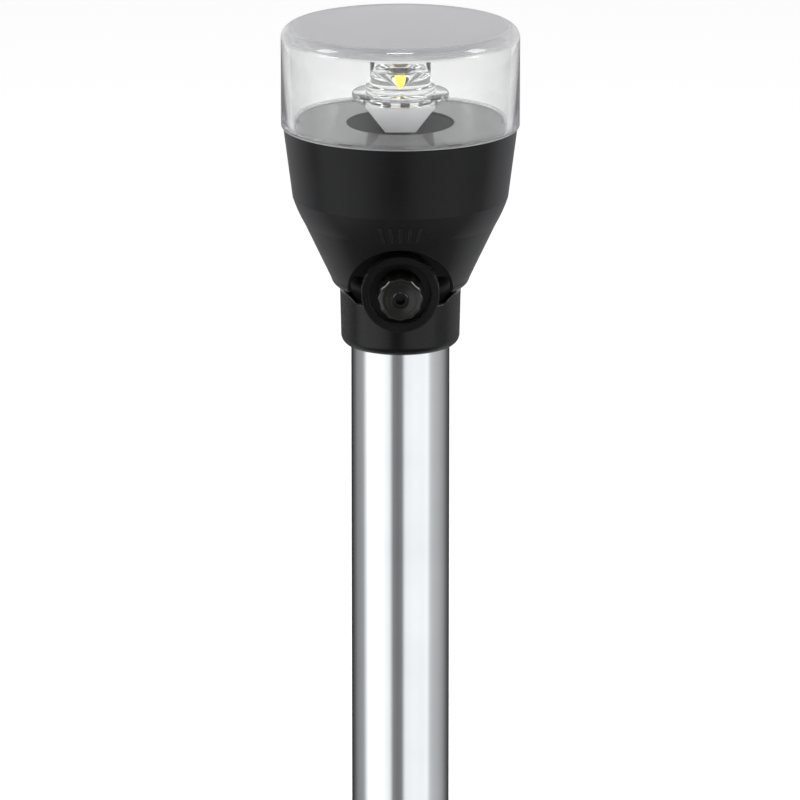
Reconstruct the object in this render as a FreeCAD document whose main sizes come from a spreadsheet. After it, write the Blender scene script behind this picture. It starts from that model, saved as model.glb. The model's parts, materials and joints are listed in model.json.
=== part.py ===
import FreeCAD, Part
import math
import os
import Sketcher

# Plug-in navigation light: an all-round lamp head that leans in a yoke on top of an aluminium pole,
# with a two-pin plug and a locking collar at the foot. Millimetres. The origin is the middle of the
# seat, the underside of the plug's flange, and +Z runs up the pole. The head leans about an axis
# along Y; its control knob faces -Y.
DRIVING = {
    # pole
    "pole_radius": 12.7,
    "pole_wall": 1.6,
    "pivot_height": 288.8,
    "wire_radius": 0.8,
    "wire_offset": 1.3,
    # plug, below and inside the pole's foot
    "flange_radius": 14.2,
    "flange_thick": 3.0,
    "barrel_radius": 9.5,
    "barrel_length": 14.0,
    "spigot_length": 45.0,
    "contact_radius": 1.6,
    "contact_offset": 4.5,
    "contact_reach": 6.0,
    "foot_rivet_height": 42.0,
    "rivet_radius": 1.6,
    # locking collar
    "collar_bore": 13.1,
    "collar_lip": 3.5,
    "collar_inside": 16.4,
    "collar_outside": 18.2,
    "collar_drop": 9.0,
    "washer_thick": 1.0,
    # yoke, measured from the pivot
    "yoke_radius": 15.6,
    "yoke_wall": 1.5,
    "yoke_shoulder": 1.6,
    "yoke_bottom": 16.8,
    "yoke_spigot": 24.0,
    "tube_entry": 5.6,
    "yoke_rivet_drop": 32.0,
    "cheek_inside": 11.6,
    "cheek_outside": 16.2,
    "cheek_radius": 10.0,
    "recess_radius": 7.9,
    "recess_depth": 2.5,
    # pivot hardware
    "pivot_screw_radius": 2.5,
    "insert_radius": 4.0,
    "knob_radius": 6.0,
    "knob_length": 8.2,
    "knob_face_radius": 4.4,
    "screw_end_radius": 2.1,
    # head housing, measured from the pivot
    "trunnion_radius": 7.5,
    "trunnion_half": 10.6,
    "ball_radius": 13.7,
    "pocket_radius": 13.5,
    "skirt_inside": 16.55,
    "skirt_drop": 0.7,
    "skirt_ceiling": 3.4,
    "cone_foot_radius": 17.9,
    "cone_foot_height": 1.1,
    "cone_top_radius": 24.75,
    "cone_top_height": 15.6,
    "brow_radius": 27.75,
    "brow_height": 22.4,
    "rim_radius": 30.1,
    "rim_height": 40.8,
    "housing_wall": 2.6,
    "mark_foot": 15.6,
    "mark_head": 19.7,
    "cavity_floor": 16.2,
    "seat_radius": 28.7,
    "seat_height": 37.2,
    "gasket_thick": 1.0,
    # lens
    "lens_radius": 30.6,
    "lens_top": 66.8,
    "lens_wall": 2.3,
    "lens_lip_inside": 27.95,
    # deck and optic
    "deck_radius": 27.75,
    "deck_top": 40.9,
    "well_radius": 14.0,
    "stand_top": 47.5,
    "stand_half": 8.8,
    "stand_foot_half": 3.75,
    "optic_flange_radius": 12.5,
    "optic_flange_top": 49.4,
    "optic_ring_radius": 8.9,
    "optic_ring_top": 51.5,
    "optic_apex": 50.2,
    "optic_radius": 7.9,
    "optic_top": 60.6,
    # driver board
    "board_radius": 23.5,
    "board_height": 28.0,
    "board_thick": 1.6,
    "post_circle": 20.0,
    "source_board_thick": 0.9,
    "chip_thick": 0.8,
}

FIT = 0.05
LEAN_STEP = 7.5
GRIP_RIBS = 24
KNOB_FLUTES = 12
SNAP_NOTCHES = 6
SPREADER_CIRCLE = 13.0
SPREADER_FOOT = 37.0
PILOT = 1.05
SEAL_UP = 4.0
SEAL_WIDE = 1.8
SEAL_DEEP = 1.4
KEYWAY_HALF = 1.2
PIN_STEP = 0.2
PIN_TOP = 12.0
CUP_FLOOR = 9.0
THREAD_CRESTS = 3
SCREW_STEP = 15.5
THREAD_PITCH = 3.0

doc = FreeCAD.newDocument("navigation_light")
sheet = doc.addObject("Spreadsheet::Sheet", "dims")
parts = []


class Size:
    """A length with the sheet expression that gives it, so that sums of sizes stay bound to the sheet."""

    def __init__(self, text, value):
        self.text = text
        self.value = value

    def joined(self, sign, other, value):
        return Size(f"({self.text} {sign} {other.text})", value)

    def __add__(self, other):
        other = as_size(other)
        return self.joined("+", other, self.value + other.value)

    def __sub__(self, other):
        other = as_size(other)
        return self.joined("-", other, self.value - other.value)

    def __rsub__(self, other):
        return as_size(other) - self

    def __mul__(self, other):
        other = as_size(other)
        return self.joined("*", other, self.value * other.value)

    __radd__ = __add__
    __rmul__ = __mul__

    def __neg__(self):
        return as_size(0) - self


def as_size(amount):
    """A plain number as a Size; a Size as it is."""
    if isinstance(amount, Size):
        return amount
    return Size(f"({amount:.6g})", float(amount))


def fill_sheet():
    """Write the driving dimensions into the sheet, one alias a row, and give them back as Sizes."""
    sizes = {}
    for row, (name, value) in enumerate(DRIVING.items(), start=1):
        sheet.set(f"A{row}", name)
        sheet.set(f"B{row}", str(value))
        sheet.setAlias(f"B{row}", name)
        sizes[name] = Size(f"dims.{name}", value)
    doc.recompute()
    return sizes


def bind(thing, where, amount):
    """Tie a property of a document object to a size."""
    thing.setExpression(where, as_size(amount).text)


def place(thing, height=0.0, facing="up"):
    """Stand a piece at a height on the pole's axis, its own +Z up, or to the front or the back."""
    turn = {"up": 0, "front": 90, "back": -90}[facing]
    rotation = FreeCAD.Rotation(FreeCAD.Vector(1, 0, 0), turn)
    thing.Placement = FreeCAD.Placement(FreeCAD.Vector(0, 0, as_size(height).value), rotation)
    bind(thing, ".Placement.Base.z", height)


def keep(thing, label):
    """Name a finished sub-part and list it for writing."""
    thing.Label = label
    parts.append(thing)
    return thing


def new_body(name):
    """An empty body for one turned or moulded piece."""
    return doc.addObject("PartDesign::Body", name)


def sketch_on(body, role, offset=0.0):
    """A sketch on one of a body's own origin planes, moved off it along the plane's normal."""
    plane = next(item for item in body.Origin.OriginFeatures if item.Role == role)
    sketch = body.newObject("Sketcher::SketchObject", body.Name + "_sketch")
    sketch.AttachmentSupport = (plane, [""])
    sketch.MapMode = "FlatFace"
    bind(sketch, ".AttachmentOffset.Base.z", offset)
    return sketch


def fix_point(sketch, edge, end, across, up):
    """Hold one end of an edge at a place measured from the sketch's origin."""
    for kind, axis, amount in (("DistanceX", -2, across), ("DistanceY", -1, up)):
        amount = as_size(amount)
        if abs(amount.value) < 1e-9:
            sketch.addConstraint(Sketcher.Constraint("PointOnObject", edge, end, axis))
            continue
        number = sketch.addConstraint(Sketcher.Constraint(kind, -1, 1, edge, end, amount.value))
        bind(sketch, f"Constraints[{number}]", amount)


def arc_between(start, end, radius):
    """The minor arc from start to end; a positive radius turns left, a negative one turns right."""
    chord = end - start
    middle = (start + end) * 0.5
    side = FreeCAD.Vector(-chord.y, chord.x, 0)
    side.normalize()
    rise = math.sqrt(radius ** 2 - (chord.Length / 2) ** 2)
    centre = middle + side * math.copysign(rise, radius)
    first, last = (start, end) if radius > 0 else (end, start)
    angles = [math.atan2(point.y - centre.y, point.x - centre.x) for point in (first, last)]
    circle = Part.Circle(centre, FreeCAD.Vector(0, 0, 1), abs(radius))
    return Part.ArcOfCircle(circle, angles[0], angles[1])


def draw_outline(sketch, corners):
    """A closed outline through corners (across, up) or, where an arc leaves one, (across, up, radius)."""
    corners = [tuple(as_size(amount) for amount in corner) for corner in corners]
    points = [FreeCAD.Vector(corner[0].value, corner[1].value, 0) for corner in corners]
    ends = []
    for number, corner in enumerate(corners):
        start, end = points[number], points[(number + 1) % len(points)]
        if len(corner) == 3:
            edge = sketch.addGeometry(arc_between(start, end, corner[2].value))
            limit = sketch.addConstraint(Sketcher.Constraint("Radius", edge, abs(corner[2].value)))
            bind(sketch, f"Constraints[{limit}]", Size(f"abs({corner[2].text})", abs(corner[2].value)))
            ends.append((edge, 1, 2) if corner[2].value > 0 else (edge, 2, 1))
        else:
            edge = sketch.addGeometry(Part.LineSegment(start, end))
            ends.append((edge, 1, 2))
    for number, corner in enumerate(corners):
        edge, first, _ = ends[number]
        previous, _, last = ends[number - 1]
        sketch.addConstraint(Sketcher.Constraint("Coincident", previous, last, edge, first))
        fix_point(sketch, edge, first, corner[0], corner[1])


def draw_circle(sketch, across, up, radius):
    """A circle at a place measured from the sketch's origin."""
    radius = as_size(radius)
    centre = FreeCAD.Vector(as_size(across).value, as_size(up).value, 0)
    edge = sketch.addGeometry(Part.Circle(centre, FreeCAD.Vector(0, 0, 1), radius.value))
    number = sketch.addConstraint(Sketcher.Constraint("Radius", edge, radius.value))
    bind(sketch, f"Constraints[{number}]", radius)
    fix_point(sketch, edge, 3, across, up)


def revolve(body, corners, cut=False):
    """Turn an outline of (radius, height) about the body's Z axis, adding material or cutting it."""
    sketch = sketch_on(body, "XZ_Plane")
    draw_outline(sketch, corners)
    kind = "Groove" if cut else "Revolution"
    feature = body.newObject("PartDesign::" + kind, body.Name + "_" + kind.lower())
    feature.Profile = (sketch, [""])
    feature.ReferenceAxis = (sketch, ["V_Axis"])
    feature.Angle = 360
    doc.recompute()
    return feature


def extrude(body, sketch, length, cut=False, backwards=False, both_ways=False):
    """Pad a sketch along its normal, or cut it away from the solid along its normal."""
    kind = "Pocket" if cut else "Pad"
    feature = body.newObject("PartDesign::" + kind, body.Name + "_" + kind.lower())
    feature.Profile = (sketch, [""])
    feature.Reversed = backwards != cut
    feature.Midplane = both_ways
    bind(feature, "Length", length)
    doc.recompute()
    return feature


def drill(body, role, across, up, radius, depth, offset=0.0, backwards=False, both_ways=False):
    """A round hole along a plane's normal."""
    sketch = sketch_on(body, role, offset)
    draw_circle(sketch, across, up, radius)
    return extrude(body, sketch, depth, cut=True, backwards=backwards, both_ways=both_ways)


def repeat_round(body, feature, count):
    """Repeat a feature evenly about the body's Z axis."""
    axis = next(item for item in body.Origin.OriginFeatures if item.Role == "Z_Axis")
    pattern = body.newObject("PartDesign::PolarPattern", body.Name + "_pattern")
    pattern.Originals = [feature]
    pattern.Axis = (axis, [""])
    pattern.Angle = 360
    pattern.Occurrences = count
    body.Tip = pattern
    doc.recompute()
    return pattern


def turned(label, corners, height=0.0, facing="up"):
    """A piece that is one outline turned about its axis."""
    body = new_body(label)
    revolve(body, corners)
    place(body, height, facing)
    return keep(body, label)


def ring(label, inner, outer, bottom, top, height=0.0, facing="up"):
    """A flat ring or a tube."""
    corners = [(inner, bottom), (outer, bottom), (outer, top), (inner, top)]
    return turned(label, corners, height, facing)


def rod(name, radius, bottom, top, across=0.0, along=0.0, height=0.0):
    """A plain upright cylinder, its foot and its top measured from a height on the pole's axis."""
    cylinder = doc.addObject("Part::Cylinder", name)
    bind(cylinder, "Radius", radius)
    bind(cylinder, "Height", as_size(top) - bottom)
    bind(cylinder, ".Placement.Base.x", across)
    bind(cylinder, ".Placement.Base.y", along)
    bind(cylinder, ".Placement.Base.z", as_size(height) + bottom)
    return cylinder


def block(name, sizes, middle, bottom, height=0.0):
    """A plain box by its three sizes, the middle of its foot and its height."""
    box = doc.addObject("Part::Box", name)
    for side, amount in zip(("Length", "Width", "Height"), sizes):
        bind(box, side, amount)
    bind(box, ".Placement.Base.x", as_size(middle[0]) - as_size(sizes[0]) * 0.5)
    bind(box, ".Placement.Base.y", as_size(middle[1]) - as_size(sizes[1]) * 0.5)
    bind(box, ".Placement.Base.z", as_size(height) + bottom)
    return box


def fused(name, pieces):
    """Several shapes made one solid."""
    joined = doc.addObject("Part::MultiFuse", name)
    joined.Shapes = pieces
    return joined


def grouped(label, pieces):
    """Separate like solids kept together in one node."""
    group = doc.addObject("Part::Compound", label)
    group.Links = pieces
    return keep(group, label)


def cord(label, points, radius):
    """A round wire on straight runs joined by tangent arcs, each arc as large as its two runs allow."""
    edges = []
    start = points[0]
    for before, corner, after in zip(points, points[1:], points[2:]):
        back, on = before - corner, after - corner
        half_turn = (math.pi - back.getAngle(on)) / 2
        reach = 0.45 * min(back.Length, on.Length)
        bend = reach / math.tan(half_turn)
        back.normalize()
        on.normalize()
        entry, leave = corner + back * reach, corner + on * reach
        inward = back + on
        inward.normalize()
        centre = corner + inward * (bend / math.cos(half_turn))
        middle = centre - inward * bend
        edges.append(Part.LineSegment(start, entry).toShape())
        edges.append(Part.Arc(entry, middle, leave).toShape())
        start = leave
        print(f"{label}: bend radius {bend:.1f}")
    edges.append(Part.LineSegment(start, points[-1]).toShape())
    path = Part.Wire(edges)
    section = Part.Wire(Part.makeCircle(radius, points[0], points[1] - points[0]))
    tube = doc.addObject("Part::Feature", label)
    tube.Shape = path.makePipeShell([section], True, False)
    expected = math.pi * radius ** 2 * path.Length
    print(f"{label}: length {path.Length:.1f}, volume ratio {tube.Shape.Volume / expected:.4f}")
    return keep(tube, label)


def pole_tube(d):
    """The drawn aluminium tube, from the plug's flange up into the yoke, drilled for its two rivets."""
    body = new_body("pole_tube")
    top = d["pivot_height"] - d["yoke_bottom"] + d["tube_entry"]
    inner = d["pole_radius"] - d["pole_wall"]
    revolve(body, [(inner, d["flange_thick"]), (d["pole_radius"], d["flange_thick"]),
                   (d["pole_radius"], top), (inner, top)])
    for rivet in (d["foot_rivet_height"], d["pivot_height"] - d["yoke_rivet_drop"]):
        drill(body, "XZ_Plane", 0, rivet, d["rivet_radius"], d["pole_radius"] + 1, backwards=True)
    return keep(body, "pole_tube")


def tube_rivets(d):
    """Two dome-headed rivets in the back of the tube, one into the plug and one into the yoke."""
    pieces = []
    stem, head, grip, dome = d["rivet_radius"] - FIT, 2.5, 4.6, 1.1
    face = d["pole_radius"] + 0.02
    for number, up in enumerate((d["foot_rivet_height"], d["pivot_height"] - d["yoke_rivet_drop"])):
        body = new_body(f"rivet_{number}")
        revolve(body, [(0, face - grip), (stem, face - grip), (stem, face), (head, face),
                       (head, face + 0.2, 3.6), (0.5, face + dome), (0, face + dome)])
        place(body, up, "back")
        pieces.append(body)
    return grouped("tube_rivets", pieces)


def plug_body(d):
    """The moulded plug: barrel, flange, and the hollow spigot that holds the tube."""
    body = new_body("plug_body")
    spigot = d["pole_radius"] - d["pole_wall"] - FIT
    barrel, top = d["barrel_radius"], d["flange_thick"] + d["spigot_length"]
    foot = -d["barrel_length"]
    groove, groove_top, groove_floor = foot + SEAL_UP, foot + SEAL_UP + SEAL_WIDE, barrel - SEAL_DEEP
    lead, hollow, floor = 1.0, spigot - 2.4, d["flange_thick"] + 2.0
    revolve(body, [(0, foot), (barrel - lead, foot), (barrel, foot + lead), (barrel, groove),
                   (groove_floor, groove), (groove_floor, groove_top), (barrel, groove_top),
                   (barrel, 0), (d["flange_radius"], 0), (d["flange_radius"], d["flange_thick"]),
                   (spigot, d["flange_thick"]), (spigot, top - lead), (spigot - lead, top),
                   (hollow, top), (hollow, floor), (0, floor)])
    for side in (-1, 1):
        drill(body, "XY_Plane", d["contact_offset"] * side, 0, d["contact_radius"] + PIN_STEP + 0.02, 40.0,
              offset=-20.0)
    keyway = sketch_on(body, "XY_Plane", -20.0)
    keyway_floor, keyway_mouth = barrel - KEYWAY_HALF, barrel + 1.0
    draw_outline(keyway, [(-KEYWAY_HALF, keyway_floor), (KEYWAY_HALF, keyway_floor),
                          (KEYWAY_HALF, keyway_mouth), (-KEYWAY_HALF, keyway_mouth)])
    extrude(body, keyway, 17.5, cut=True)
    drill(body, "XZ_Plane", 0, d["foot_rivet_height"], d["rivet_radius"], d["pole_radius"], backwards=True)
    return keep(body, "plug_body")


def contact_pins(d):
    """Two brass pins with rounded tips and a thicker shank in the plug, drilled at the top for the wires."""
    pieces = []
    tip = -(d["barrel_length"] + d["contact_reach"])
    pin, shank, cup = d["contact_radius"], d["contact_radius"] + PIN_STEP, 1.0
    for number, side in enumerate((-1, 1)):
        body = new_body(f"contact_{number}")
        revolve(body, [(0, tip), (pin - 1.0, tip, 1.0), (pin, tip + 1.0), (pin, -d["barrel_length"]),
                       (shank, -d["barrel_length"]), (shank, PIN_TOP), (cup, PIN_TOP), (cup, CUP_FLOOR),
                       (0, CUP_FLOOR)])
        bind(body, ".Placement.Base.x", d["contact_offset"] * side)
        pieces.append(body)
    return grouped("contact_pins", pieces)


def plug_seal(d):
    """The rubber ring in the barrel's groove."""
    bottom, high = SEAL_UP + 0.1 - d["barrel_length"], SEAL_WIDE - 0.2
    inner, shoulder, proud = d["barrel_radius"] - SEAL_DEEP + 0.04, d["barrel_radius"] - 0.5, 0.1
    corners = [(inner, bottom), (shoulder, bottom), (d["barrel_radius"] + proud, bottom + high / 2),
               (shoulder, bottom + high), (inner, bottom + high)]
    return turned("plug_seal", corners)


def thrust_washer(d):
    """The slip ring that the locking collar pulls down on the flange."""
    bottom = d["flange_thick"] + FIT
    return ring("thrust_washer", d["collar_bore"] - 0.1, d["flange_radius"] + 1.2, bottom,
                bottom + d["washer_thick"])


def locking_collar(d):
    """The threaded ring that slides on the pole and screws the plug to its socket."""
    body = new_body("locking_collar")
    lip = d["flange_thick"] + d["washer_thick"] + FIT * 2
    foot = -d["collar_drop"]
    inside, outside, crest_radius = d["collar_inside"], d["collar_outside"], d["collar_inside"] - 0.5
    root_half, crest_half, first_crest = 0.7, 0.2, 1.6
    thread = [(inside, lip)]
    for crest in reversed(range(THREAD_CRESTS)):
        middle = foot + first_crest + crest * THREAD_PITCH
        thread += [(inside, middle + root_half), (crest_radius, middle + crest_half),
                   (crest_radius, middle - crest_half), (inside, middle - root_half)]
    revolve(body, [(outside - 0.6, foot), (outside, foot + 0.6), (outside, lip + 1.0),
                   (outside - 2.5, lip + d["collar_lip"]), (d["collar_bore"], lip + d["collar_lip"]),
                   (d["collar_bore"], lip)] + thread + [(inside, foot)])
    rib = sketch_on(body, "XY_Plane", foot + 1.0)
    draw_circle(rib, outside - 0.35, 0, 1.1)
    feature = extrude(body, rib, d["collar_drop"] + lip - 1.4)
    repeat_round(body, feature, GRIP_RIBS)
    return keep(body, "locking_collar")


def pole_yoke(d):
    """The moulded collar on top of the tube, with two cheeks that hold the head's trunnion."""
    body = new_body("pole_yoke")
    outer, bottom = d["yoke_radius"], -d["yoke_bottom"]
    bore, spigot = d["pole_radius"] + FIT, d["pole_radius"] - d["pole_wall"] - FIT
    stop, spigot_end = bottom + d["tube_entry"] + FIT, bottom - d["yoke_spigot"]
    shoulder, lead, hollow, web = -d["yoke_shoulder"], 1.0, 6.0, -10.6
    revolve(body, [(hollow, spigot_end), (spigot - lead, spigot_end), (spigot, spigot_end + lead),
                   (spigot, stop), (bore, stop), (bore, bottom), (bore + 0.45, bottom, 2.8),
                   (outer - 0.3, bottom + 2.4), (outer - 0.1, shoulder - 4.0), (outer, shoulder - 0.7),
                   (outer - 0.7, shoulder), (0, shoulder), (0, web), (hollow, web)])
    cavity = outer - d["yoke_wall"]
    flat = (cavity.value ** 2 - d["cheek_inside"].value ** 2) ** 0.5
    flat = Size(f"sqrt({cavity.text} ^ 2 - {d['cheek_inside'].text} ^ 2)", flat)
    floor = sketch_on(body, "XY_Plane", -d["trunnion_radius"] - 2.0)
    draw_outline(floor, [(flat, -d["cheek_inside"], cavity), (flat, d["cheek_inside"]),
                         (-flat, d["cheek_inside"], cavity), (-flat, -d["cheek_inside"])])
    extrude(body, floor, 20.0, cut=True)
    drill(body, "XY_Plane", 0, 0, 3.6, 6.0, offset=-d["trunnion_radius"] - 5.0)
    for backwards in (False, True):
        yoke_cheek(body, d, backwards)
    yoke_shoulders(body, d)
    drill(body, "XZ_Plane", 0, -d["yoke_rivet_drop"], d["rivet_radius"], 20.0, backwards=True)
    place(body, d["pivot_height"])
    return keep(body, "pole_yoke")


def yoke_cheek(body, d, backwards):
    """One cheek: a disc about the pivot with a sunk seat for the screw, and its through hole."""
    side = -1 if backwards else 1
    cheek = sketch_on(body, "XZ_Plane", d["cheek_inside"] * side)
    draw_circle(cheek, 0, 0, d["cheek_radius"])
    extrude(body, cheek, d["cheek_outside"] - d["cheek_inside"], backwards=backwards)
    seat = d["cheek_outside"] - d["recess_depth"]
    drill(body, "XZ_Plane", 0, 0, d["recess_radius"], d["recess_depth"] + 1.0, offset=seat * side,
          backwards=backwards)
    drill(body, "XZ_Plane", 0, 0, d["pivot_screw_radius"] + 0.1, 8.0,
          offset=(d["cheek_inside"] - 1.0) * side, backwards=backwards)


def yoke_shoulders(body, d):
    """The collar's top edge dips beside each cheek."""
    for side in (-1, 1):
        dip = sketch_on(body, "XZ_Plane", -20.0)
        draw_outline(dip, [(14.8 * side, -1.0), (10.15 * side, -1.0), (9.3 * side, -3.9),
                           (11.0 * side, -3.9)])
        extrude(body, dip, 40.0, cut=True)


def head_housing(d):
    """The moulded black housing: a cone with a skirt, a trunnion across it and pockets for the cheeks."""
    body = new_body("head_housing")
    skirt, rim = d["skirt_inside"], d["rim_radius"]
    inner_brow = d["brow_radius"] - d["housing_wall"]
    ceiling, skirt_foot = d["skirt_ceiling"], -d["skirt_drop"]
    revolve(body, [(0, ceiling), (skirt - 0.5, ceiling), (skirt, ceiling - 0.9),
                   (skirt, skirt_foot), (skirt + 0.3, skirt_foot, 3.0),
                   (d["cone_foot_radius"], d["cone_foot_height"]),
                   (d["cone_top_radius"], d["cone_top_height"], 34.0), (d["brow_radius"], d["brow_height"]),
                   (rim, d["rim_height"]), (d["seat_radius"], d["rim_height"]),
                   (d["seat_radius"], d["seat_height"]), (d["seat_radius"] - 2.5, d["seat_height"]),
                   (inner_brow, d["brow_height"] + 0.3), (inner_brow - 2.8, d["cavity_floor"]),
                   (0, d["cavity_floor"])])
    for backwards in (False, True):
        side = -1 if backwards else 1
        drill(body, "XZ_Plane", 0, 0, d["pocket_radius"], 24.0, offset=d["trunnion_half"] * side,
              backwards=backwards)
    trunnion_ball(body, d)
    drill(body, "XY_Plane", 0, 0, 3.2, 40.0, offset=-10.0)
    drill(body, "XY_Plane", 0, 0, 4.8, 14.0, offset=-10.0)
    for backwards in (False, True):
        side = -1 if backwards else 1
        drill(body, "XZ_Plane", 0, 0, d["insert_radius"] + 0.02, 8.0,
              offset=(d["trunnion_half"] - 4.6) * side, backwards=backwards)
    board_posts(body, d)
    lean_marks(body, d)
    place(body, d["pivot_height"])
    return keep(body, "head_housing")


def trunnion_ball(body, d):
    """A ball with flat ends inside the yoke, cut level below, and the trunnion's barrel through it."""
    ball, half = d["ball_radius"], d["trunnion_half"]
    end = Size(f"sqrt({ball.text} ^ 2 - {half.text} ^ 2)", (ball.value ** 2 - half.value ** 2) ** 0.5)
    sketch = sketch_on(body, "XY_Plane")
    draw_outline(sketch, [(0, -half), (end, -half, ball), (end, half), (0, half)])
    turned_ball = body.newObject("PartDesign::Revolution", "trunnion_ball")
    turned_ball.Profile = (sketch, [""])
    turned_ball.ReferenceAxis = (sketch, ["V_Axis"])
    turned_ball.Angle = 360
    doc.recompute()
    level = sketch_on(body, "XY_Plane", -20.0)
    draw_circle(level, 0, 0, 16.0)
    extrude(body, level, 15.0, cut=True)
    trunnion = sketch_on(body, "XZ_Plane")
    draw_circle(trunnion, 0, 0, d["trunnion_radius"])
    extrude(body, trunnion, half * 2, both_ways=True)


def board_posts(body, d):
    """Three posts with pilot holes on the housing's floor, for the driver board."""
    post = sketch_on(body, "XY_Plane", d["cavity_floor"] - 0.5)
    draw_circle(post, d["post_circle"], 0, 2.4)
    repeat_round(body, extrude(body, post, d["board_height"] - d["cavity_floor"] + 0.5), 3)
    pilot = sketch_on(body, "XY_Plane", d["board_height"] - 7.0)
    draw_circle(pilot, d["post_circle"], 0, 1.22)
    repeat_round(body, extrude(body, pilot, 7.5, cut=True), 3)


def lean_marks(body, d):
    """Five raised marks that fan from the pivot on the front of the cone, one for each lean step."""
    low, high, half = d["mark_foot"], d["mark_head"], 0.28
    marks = sketch_on(body, "XZ_Plane", 18.0)
    for number in range(-2, 3):
        slope = math.tan(math.radians(LEAN_STEP * number))
        draw_outline(marks, [(low * slope + half, low), (high * slope + half, high),
                             (high * slope - half, high), (low * slope - half, low)])
    extrude(body, marks, 14.0)
    slope_r = (d["cone_top_radius"].value - d["cone_foot_radius"].value) / (
        d["cone_top_height"].value - d["cone_foot_height"].value)
    bottom, top, proud = 12.0, 24.0, 0.35
    cone = [(d["cone_top_radius"] + slope_r * (up - d["cone_top_height"].value) + proud, up)
            for up in (bottom, d["cone_top_height"].value)]
    revolve(body, [(cone[1][0], cone[1][1]), (cone[0][0], cone[0][1]), (36, bottom), (36, top),
                   (d["brow_radius"] + proud, top), (d["brow_radius"] + proud, d["brow_height"], -34.0)],
            cut=True)


def lens_globe(d):
    """The clear lens: a straight-sided cap with a lip that drops inside the housing's rim."""
    body = new_body("lens_globe")
    radius, wall, top = d["lens_radius"], d["lens_wall"], d["lens_top"]
    rim, lip = d["rim_height"], d["lens_lip_inside"]
    foot = d["seat_height"] + d["gasket_thick"]
    revolve(body, [(lip, foot), (lip + 0.6, foot), (lip + 0.6, rim), (radius, rim), (radius, top - 3.0, 3.0),
                   (radius - 3.0, top), (0, top), (0, top - wall), (12.8, top - wall),
                   (12.8, top - wall - 0.4), (13.4, top - wall - 0.4), (13.4, top - wall),
                   (radius - 4.0, top - wall, -1.7), (radius - wall, top - wall - 1.7),
                   (radius - wall, rim + 1.5), (lip, rim)])
    place(body, d["pivot_height"])
    return keep(body, "lens_globe")


def deck_plate(d):
    """The black deck under the lens, with a shallow well for the optic and notches for the lens's snaps."""
    body = new_body("deck_plate")
    top, foot = d["deck_top"], d["seat_height"] + d["gasket_thick"]
    well = d["well_radius"]
    revolve(body, [(2.2, top - 2.2), (well + 2.0, top - 2.2), (well + 2.0, top - 1.4), (26.3, top - 1.4),
                   (26.3, foot), (d["deck_radius"], foot), (d["deck_radius"], top), (well, top),
                   (well - 0.3, top - 0.8), (2.2, top - 0.8)])
    notch = sketch_on(body, "XY_Plane", top - 0.7)
    draw_outline(notch, [(26.4, -1.9), (28.5, -1.9), (28.5, 1.9), (26.4, 1.9)])
    repeat_round(body, extrude(body, notch, 2.0, cut=True), SNAP_NOTCHES)
    pilot = sketch_on(body, "XY_Plane", top - 3.0)
    draw_circle(pilot, SPREADER_CIRCLE, 0, PILOT)
    repeat_round(body, extrude(body, pilot, 1.9, cut=True), 3)
    place(body, d["pivot_height"])
    return keep(body, "deck_plate")


def optic_stand(d):
    """The bright pressed stand: a square plate on a front and a back leg that narrow to the deck."""
    top, half, foot = d["stand_top"], d["stand_half"], d["stand_foot_half"]
    bottom = d["deck_top"] - 0.8
    thick = 0.9
    body = new_body("optic_stand")
    plate = sketch_on(body, "XY_Plane", top - thick)
    draw_outline(plate, [(-half, -half), (half, -half), (half, half), (-half, half)])
    extrude(body, plate, thick)
    leg = sketch_on(body, "XZ_Plane", half - thick)
    draw_outline(leg, [(-foot, bottom), (foot, bottom), (half - 0.2, top - thick), (half - 0.2, top - 0.2),
                       (0.2 - half, top - 0.2), (0.2 - half, top - thick)])
    repeat_round(body, extrude(body, leg, thick), 2)
    drill(body, "XY_Plane", 0, 0, 2.2, 4.0, offset=top - 2.0)
    place(body, d["pivot_height"])
    return keep(body, "optic_stand")


def light_optic(d):
    """The clear optic: a flange on the stand and a block whose deep cone throws the light sideways."""
    bottom, flange, shoulder = d["stand_top"], d["optic_flange_top"], d["optic_ring_top"]
    edge, neck, radius = d["optic_flange_radius"], d["optic_ring_radius"], d["optic_radius"]
    top, recess, ceiling = d["optic_top"], 6.4, d["optic_apex"] - 0.6
    corners = [(recess, bottom), (edge - 0.4, bottom), (edge, bottom + 0.4), (edge, flange - 0.3),
               (edge - 0.3, flange), (neck, flange), (neck, shoulder - 0.3), (radius, shoulder),
               (radius - 0.2, top), (radius - 0.9, top), (0, d["optic_apex"]), (0, ceiling),
               (recess, ceiling)]
    return turned("light_optic", corners, d["pivot_height"])


def driver_board(d):
    """The driver's circuit board, on three posts in the housing."""
    body = new_body("driver_board")
    board = sketch_on(body, "XY_Plane", d["board_height"])
    draw_circle(board, 0, 0, d["board_radius"])
    for turn in (0, 120, 240):
        angle = math.radians(turn)
        draw_circle(board, d["post_circle"] * math.cos(angle), d["post_circle"] * math.sin(angle), 1.3)
    for side in (-1, 1):
        draw_circle(board, 5.0, 2.5 * side, 0.62)
    extrude(body, board, d["board_thick"])
    place(body, d["pivot_height"])
    return keep(body, "driver_board")


def driver_parts(d):
    """What is soldered to the board: a choke, two capacitors and a controller chip."""
    base, up = d["board_height"] + d["board_thick"], d["pivot_height"]
    choke = rod("choke", 4.6, base, base + 4.2, -10.0, 3.0, up)
    pieces = [choke]
    for number, (across, along) in enumerate(((-3.0, -12.0), (6.0, -12.0))):
        pieces.append(rod(f"capacitor_{number}", 3.0, base, base + 5.5, across, along, up))
    pieces.append(block("controller", (6.0, 5.0, 1.5), (-1.0, 12.0), base, up))
    return grouped("driver_parts", pieces)


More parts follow.
